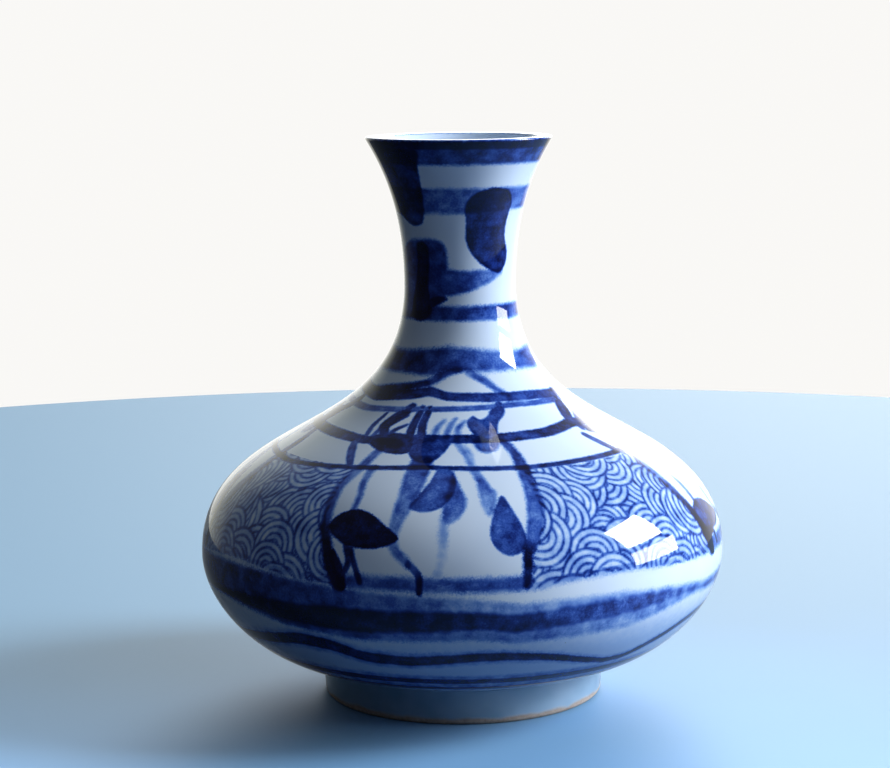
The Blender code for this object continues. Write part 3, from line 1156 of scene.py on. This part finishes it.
def bottle_sections():
    """The four thrown sections. Their outer surfaces meet in the middle of each joint."""
    fillet_place = fillet_start()
    neck_places, neck_canvas = wall_canvas(NECK_JOINT, LIP_START, NECK_ROW_SPACING,
                                           NECK_COLUMNS, over_lip=True)
    shoulder_places, shoulder_canvas = wall_canvas(BELLY_JOINT, NECK_JOINT, ROW_SPACING,
                                                   BODY_COLUMNS)
    bowl_places, bowl_canvas = wall_canvas(fillet_place, BELLY_JOINT, ROW_SPACING,
                                           BODY_COLUMNS)
    paint_everything()
    glaze = painted_porcelain()
    neck_inside = places_between(NECK_JOINT, LIP_INSIDE, INSIDE_ROW_SPACING / 2)
    lip_inside = inner_run(places_between(LIP_INSIDE, LIP_START, NECK_ROW_SPACING))
    neck = [joined(outer_run(neck_places), lip_run(), lip_inside), inner_run(neck_inside),
            *straight_runs(*joint_corners(NECK_JOINT, 1)[::-1])]
    lathe("neck_surface", neck, NECK_COLUMNS, glaze, neck_canvas)

    inside = places_between(BELLY_JOINT, NECK_JOINT, INSIDE_ROW_SPACING)
    shoulder = [outer_run(shoulder_places), *straight_runs(*joint_corners(NECK_JOINT, -1)),
                inner_run(inside), *straight_runs(*joint_corners(BELLY_JOINT, 1)[::-1])]
    lathe("shoulder_surface", shoulder, BODY_COLUMNS, glaze, shoulder_canvas)

    bowl, painted_run = bowl_runs(bowl_places, fillet_place)
    lathe("lower_bowl_surface", bowl, BODY_COLUMNS, glaze, bowl_canvas, painted_run)
    lathe("foot_ring_surface", foot_runs(), BODY_COLUMNS // 2, foot_porcelain())


def bowl_runs(places, fillet_place):
    """Recess, grooved foot joint, fillet, outer wall, grooved belly joint, inside.

    Also gives the index of the outer wall's run.
    """
    recess_top = wall_point(fillet_place)[1]
    joint = recess_top - FOOT_FILLET
    roof = BOWL_UNDERSIDE
    inner = FOOT_INNER_RADIUS - FOOT_INNER_TAPER
    recess = straight_runs((0.0, recess_top), (inner - FOOT_FILLET, recess_top))
    inner_fillet = arc_run((inner - FOOT_FILLET, joint), FOOT_FILLET, 90, 0, steps=6,
                           hollow=True)
    groove = straight_runs(
        (inner, joint), (inner + GROOVE_EDGE, joint), (inner + GROOVE_EDGE, roof),
        (FOOT_TOP_RADIUS - GROOVE_EDGE, roof), (FOOT_TOP_RADIUS - GROOVE_EDGE, joint),
        (FOOT_TOP_RADIUS, joint))
    outer_fillet = arc_run((FOOT_TOP_RADIUS + FOOT_FILLET, joint), FOOT_FILLET, 180, 90,
                           hollow=True)
    inside = inner_run(places_between(0.0, BELLY_JOINT, INSIDE_ROW_SPACING))
    floor = straight_runs(inside[0][-1], (0.0, inside[0][-1][1]))
    below = [*recess, inner_fillet, *groove, outer_fillet]
    above = [*straight_runs(*joint_corners(BELLY_JOINT, -1)), inside, *floor]
    return [*below, outer_run(places), *above], len(below)


def foot_runs():
    """Standing ring with rounded bearing edges and a groove in its top."""
    joint = BOWL_UNDERSIDE - FOOT_FILLET
    rounding = FOOT_ROUNDING
    inner_top = FOOT_INNER_RADIUS - FOOT_INNER_TAPER
    side = straight_runs((FOOT_BASE_RADIUS, rounding), (FOOT_TOP_RADIUS, joint))
    top = straight_runs(
        (FOOT_TOP_RADIUS, joint), (FOOT_TOP_RADIUS - GROOVE_EDGE, joint),
        (FOOT_TOP_RADIUS - GROOVE_EDGE, FOOT_GROOVE_FLOOR),
        (inner_top + GROOVE_EDGE, FOOT_GROOVE_FLOOR), (inner_top + GROOVE_EDGE, joint),
        (inner_top, joint), (FOOT_INNER_RADIUS, rounding))
    inner_edge = arc_run((FOOT_INNER_RADIUS + rounding, rounding), rounding, 180, 270)
    base = straight_runs((FOOT_INNER_RADIUS + rounding, 0.0),
                         (FOOT_BASE_RADIUS - rounding, 0.0))
    outer_edge = arc_run((FOOT_BASE_RADIUS - rounding, rounding), rounding, 270, 360)
    return [*side, *top, inner_edge, *base, outer_edge]


# ---------------------------------------------------------------------------- stage

CAMERA_DISTANCE = 411.5
CAMERA_HEIGHT = 117.6
CAMERA_PITCH = 8.56
CAMERA_YAW = 0.39
CAMERA_ROLL = -0.56
CAMERA_LENS = 94.0


def make_camera():
    data = bpy.data.cameras.new("camera")
    data.lens = CAMERA_LENS
    data.clip_start = 0.01
    data.clip_end = 20.0
    camera = add_object("camera", data)
    camera.matrix_world = (
        Matrix.Translation(Vector((0.0, -CAMERA_DISTANCE, CAMERA_HEIGHT)) * MM)
        @ Matrix.Rotation(np.radians(CAMERA_YAW), 4, "Z")
        @ Matrix.Rotation(np.radians(90 - CAMERA_PITCH), 4, "X")
        @ Matrix.Rotation(np.radians(CAMERA_ROLL), 4, "Z"))
    bpy.context.scene.camera = camera


def is_camera_ray(tree):
    return node(tree, "LightPath").outputs["Is Camera Ray"]


def scaled(tree, colour, factor):
    return node(tree, "VectorMath", {0: colour, "Scale": factor}, operation="SCALE").outputs[0]


FLOOR_RADIUS = 360.0
FLOOR_SIDES = 128
FLOOR_DEPTH = (-90, 60)
FLOOR_COLOURS = ((0.0, (0.21, 0.45, 0.79)), (0.35, (0.185, 0.39, 0.64)),
                 (1.0, (0.158, 0.305, 0.455)))
FLAG_DEPTH = (-150, 60)
FLAG_PASSES = (0.26, 0.7)
FLAG_ACROSS = (-100, 40)
FLAG_LEFT = 0.12


def floor_material():
    """Pale blue, greyer at the back. A flag keeps its glow off the front of the bottle.

    The flag is a dimming of the colour for all rays but the camera's, strongest in front
    and at the left: painted shade in front and a painted shadow at the left, which only the
    bottle's bounce light and reflections see.
    """
    material, tree, shader = new_material("floor", Roughness=0.7, Metallic=0.0)
    axes = axes_of(tree, object_place(tree))
    mottle = spread(tree, noise(tree, 60.0), 0.3, 0.7, -6 * MM, 6 * MM)
    depth = math(tree, "ADD", axes["Y"], mottle)
    colour = colour_ramp(tree, spread(tree, depth, *(edge * MM for edge in FLOOR_DEPTH)),
                         FLOOR_COLOURS)
    # Painted shade for bounce light: darker in front, and a painted shadow at the left
    flag = spread(tree, axes["Y"], *(edge * MM for edge in FLAG_DEPTH), *FLAG_PASSES)
    side = spread(tree, axes["X"], *(edge * MM for edge in FLAG_ACROSS), FLAG_LEFT, 1.0)
    lit = math(tree, "MAXIMUM", math(tree, "MULTIPLY", flag, side), is_camera_ray(tree))
    connect(tree, shader, Base_Color=scaled(tree, colour, lit))
    return material


def make_floor():
    """Round table top."""
    angles = 2 * np.pi * np.arange(FLOOR_SIDES) / FLOOR_SIDES
    rim = np.stack((np.cos(angles), np.sin(angles), np.zeros(FLOOR_SIDES)), axis=1)
    mesh = bpy.data.meshes.new("floor")
    mesh.from_pydata((rim * FLOOR_RADIUS * MM).tolist(), [], [list(range(FLOOR_SIDES))])
    mesh.materials.append(floor_material())
    add_object("floor", mesh)


def towards(azimuth, elevation):
    """Unit vector from the bottle out to an azimuth and elevation."""
    turn, rise = np.radians(azimuth), np.radians(elevation)
    return Vector((np.sin(turn) * np.cos(rise), -np.cos(turn) * np.cos(rise), np.sin(rise)))


LIGHT_DISTANCE = 2500
LIGHT_TARGET = Vector((0.0, 0.0, 40.0)) * MM


def area_light(name, azimuth, elevation, width, height, power, colour, mirrored=True):
    """Soft rectangular light that faces the bottle and isn't seen by the camera."""
    data = bpy.data.lights.new(name, "AREA")
    data.shape = "RECTANGLE"
    data.size = width * MM
    data.size_y = height * MM
    data.energy = power
    data.color = colour
    light = add_object(name, data)
    away = towards(azimuth, elevation)
    light.location = LIGHT_TARGET + away * LIGHT_DISTANCE * MM
    light.rotation_mode = "QUATERNION"
    light.rotation_quaternion = away.to_track_quat("Z", "Y")
    light.visible_camera = False
    light.visible_glossy = mirrored


def make_lights():
    area_light("window_upper", 91, 29, 1020, 860, 84.0, (0.94, 0.97, 1.0))
    area_light("window_lower", 93, 9, 1250, 460, 26.0, (0.96, 0.98, 1.0))
    area_light("room_fill", 48, 38, 2600, 1500, 13.0, (0.82, 0.92, 1.0), mirrored=False)


# Soft-edged window behind the bottle: its direction, its outer and inner radius, its glow
BACK_WINDOW = (168, 18)
BACK_WINDOW_EDGE = (20, 5)
BACK_WINDOW_GLOW = 14.0
BACKDROP_COLOUR = (0.95, 0.94, 0.92, 1.0)

# Glow of the room, from the front of the bottle to behind it
ROOM_LEAN = 0.12
ROOM_REACH = (-0.9, 1.1)
ROOM_GLOW = (
    (0.0, (0.024, 0.024, 0.028)),
    (0.45, (0.056, 0.058, 0.066)),
    (0.72, (0.20, 0.22, 0.22)),
    (0.83, (0.75, 0.78, 0.66)),
    (0.93, (1.6, 1.6, 1.5)),
    (1.0, (2.0, 2.0, 2.0)),
)


def make_world():
    """Pale backdrop for the camera, and for other rays a room that is brighter behind."""
    world = bpy.data.worlds.new("world")
    bpy.context.scene.world = world
    world.use_nodes = True
    tree = world.node_tree
    sky = node(tree, "TexCoord").outputs["Generated"]
    axes = axes_of(tree, sky)
    facing = math(tree, "MULTIPLY_ADD", axes["X"], ROOM_LEAN, axes["Y"])
    room = colour_ramp(tree, spread(tree, facing, *ROOM_REACH, smooth=False), ROOM_GLOW)
    room = scaled(tree, room, spread(tree, axes["Z"], -0.45, 0.05, 0.2, 1.0))
    aligned = node(tree, "VectorMath", {0: sky, 1: towards(*BACK_WINDOW)},
                   operation="DOT_PRODUCT").outputs["Value"]
    outer, inner = (float(np.cos(np.radians(angle))) for angle in BACK_WINDOW_EDGE)
    window = spread(tree, aligned, outer, inner, 0.0, BACK_WINDOW_GLOW)
    glow = node(tree, "VectorMath", {0: room, 1: window}, operation="ADD").outputs[0]
    shown = mix(tree, is_camera_ray(tree), glow, BACKDROP_COLOUR)
    connect(tree, tree.nodes["Background"], Color=shown)


def finish_frame():
    """Every made section replaces its CAD node, and the slip rings get their material."""
    slots = {"neck": "painted_porcelain", "shoulder": "painted_porcelain",
             "lower_bowl": "painted_porcelain", "foot_ring": "bare_porcelain"}
    for section, slot in slots.items():
        piece = bpy.data.objects[f"{section}_surface"]
        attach(piece, "root")
        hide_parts(section)
    slip = slip_material()
    for name in ("neck_luting", "belly_luting", "foot_luting"):
        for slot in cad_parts[name].material_slots:
            slot.material = slip


make_camera()
bottle_sections()
finish_frame()
make_floor()
make_lights()
make_world()
bpy.context.scene.view_settings.view_transform = "Standard"
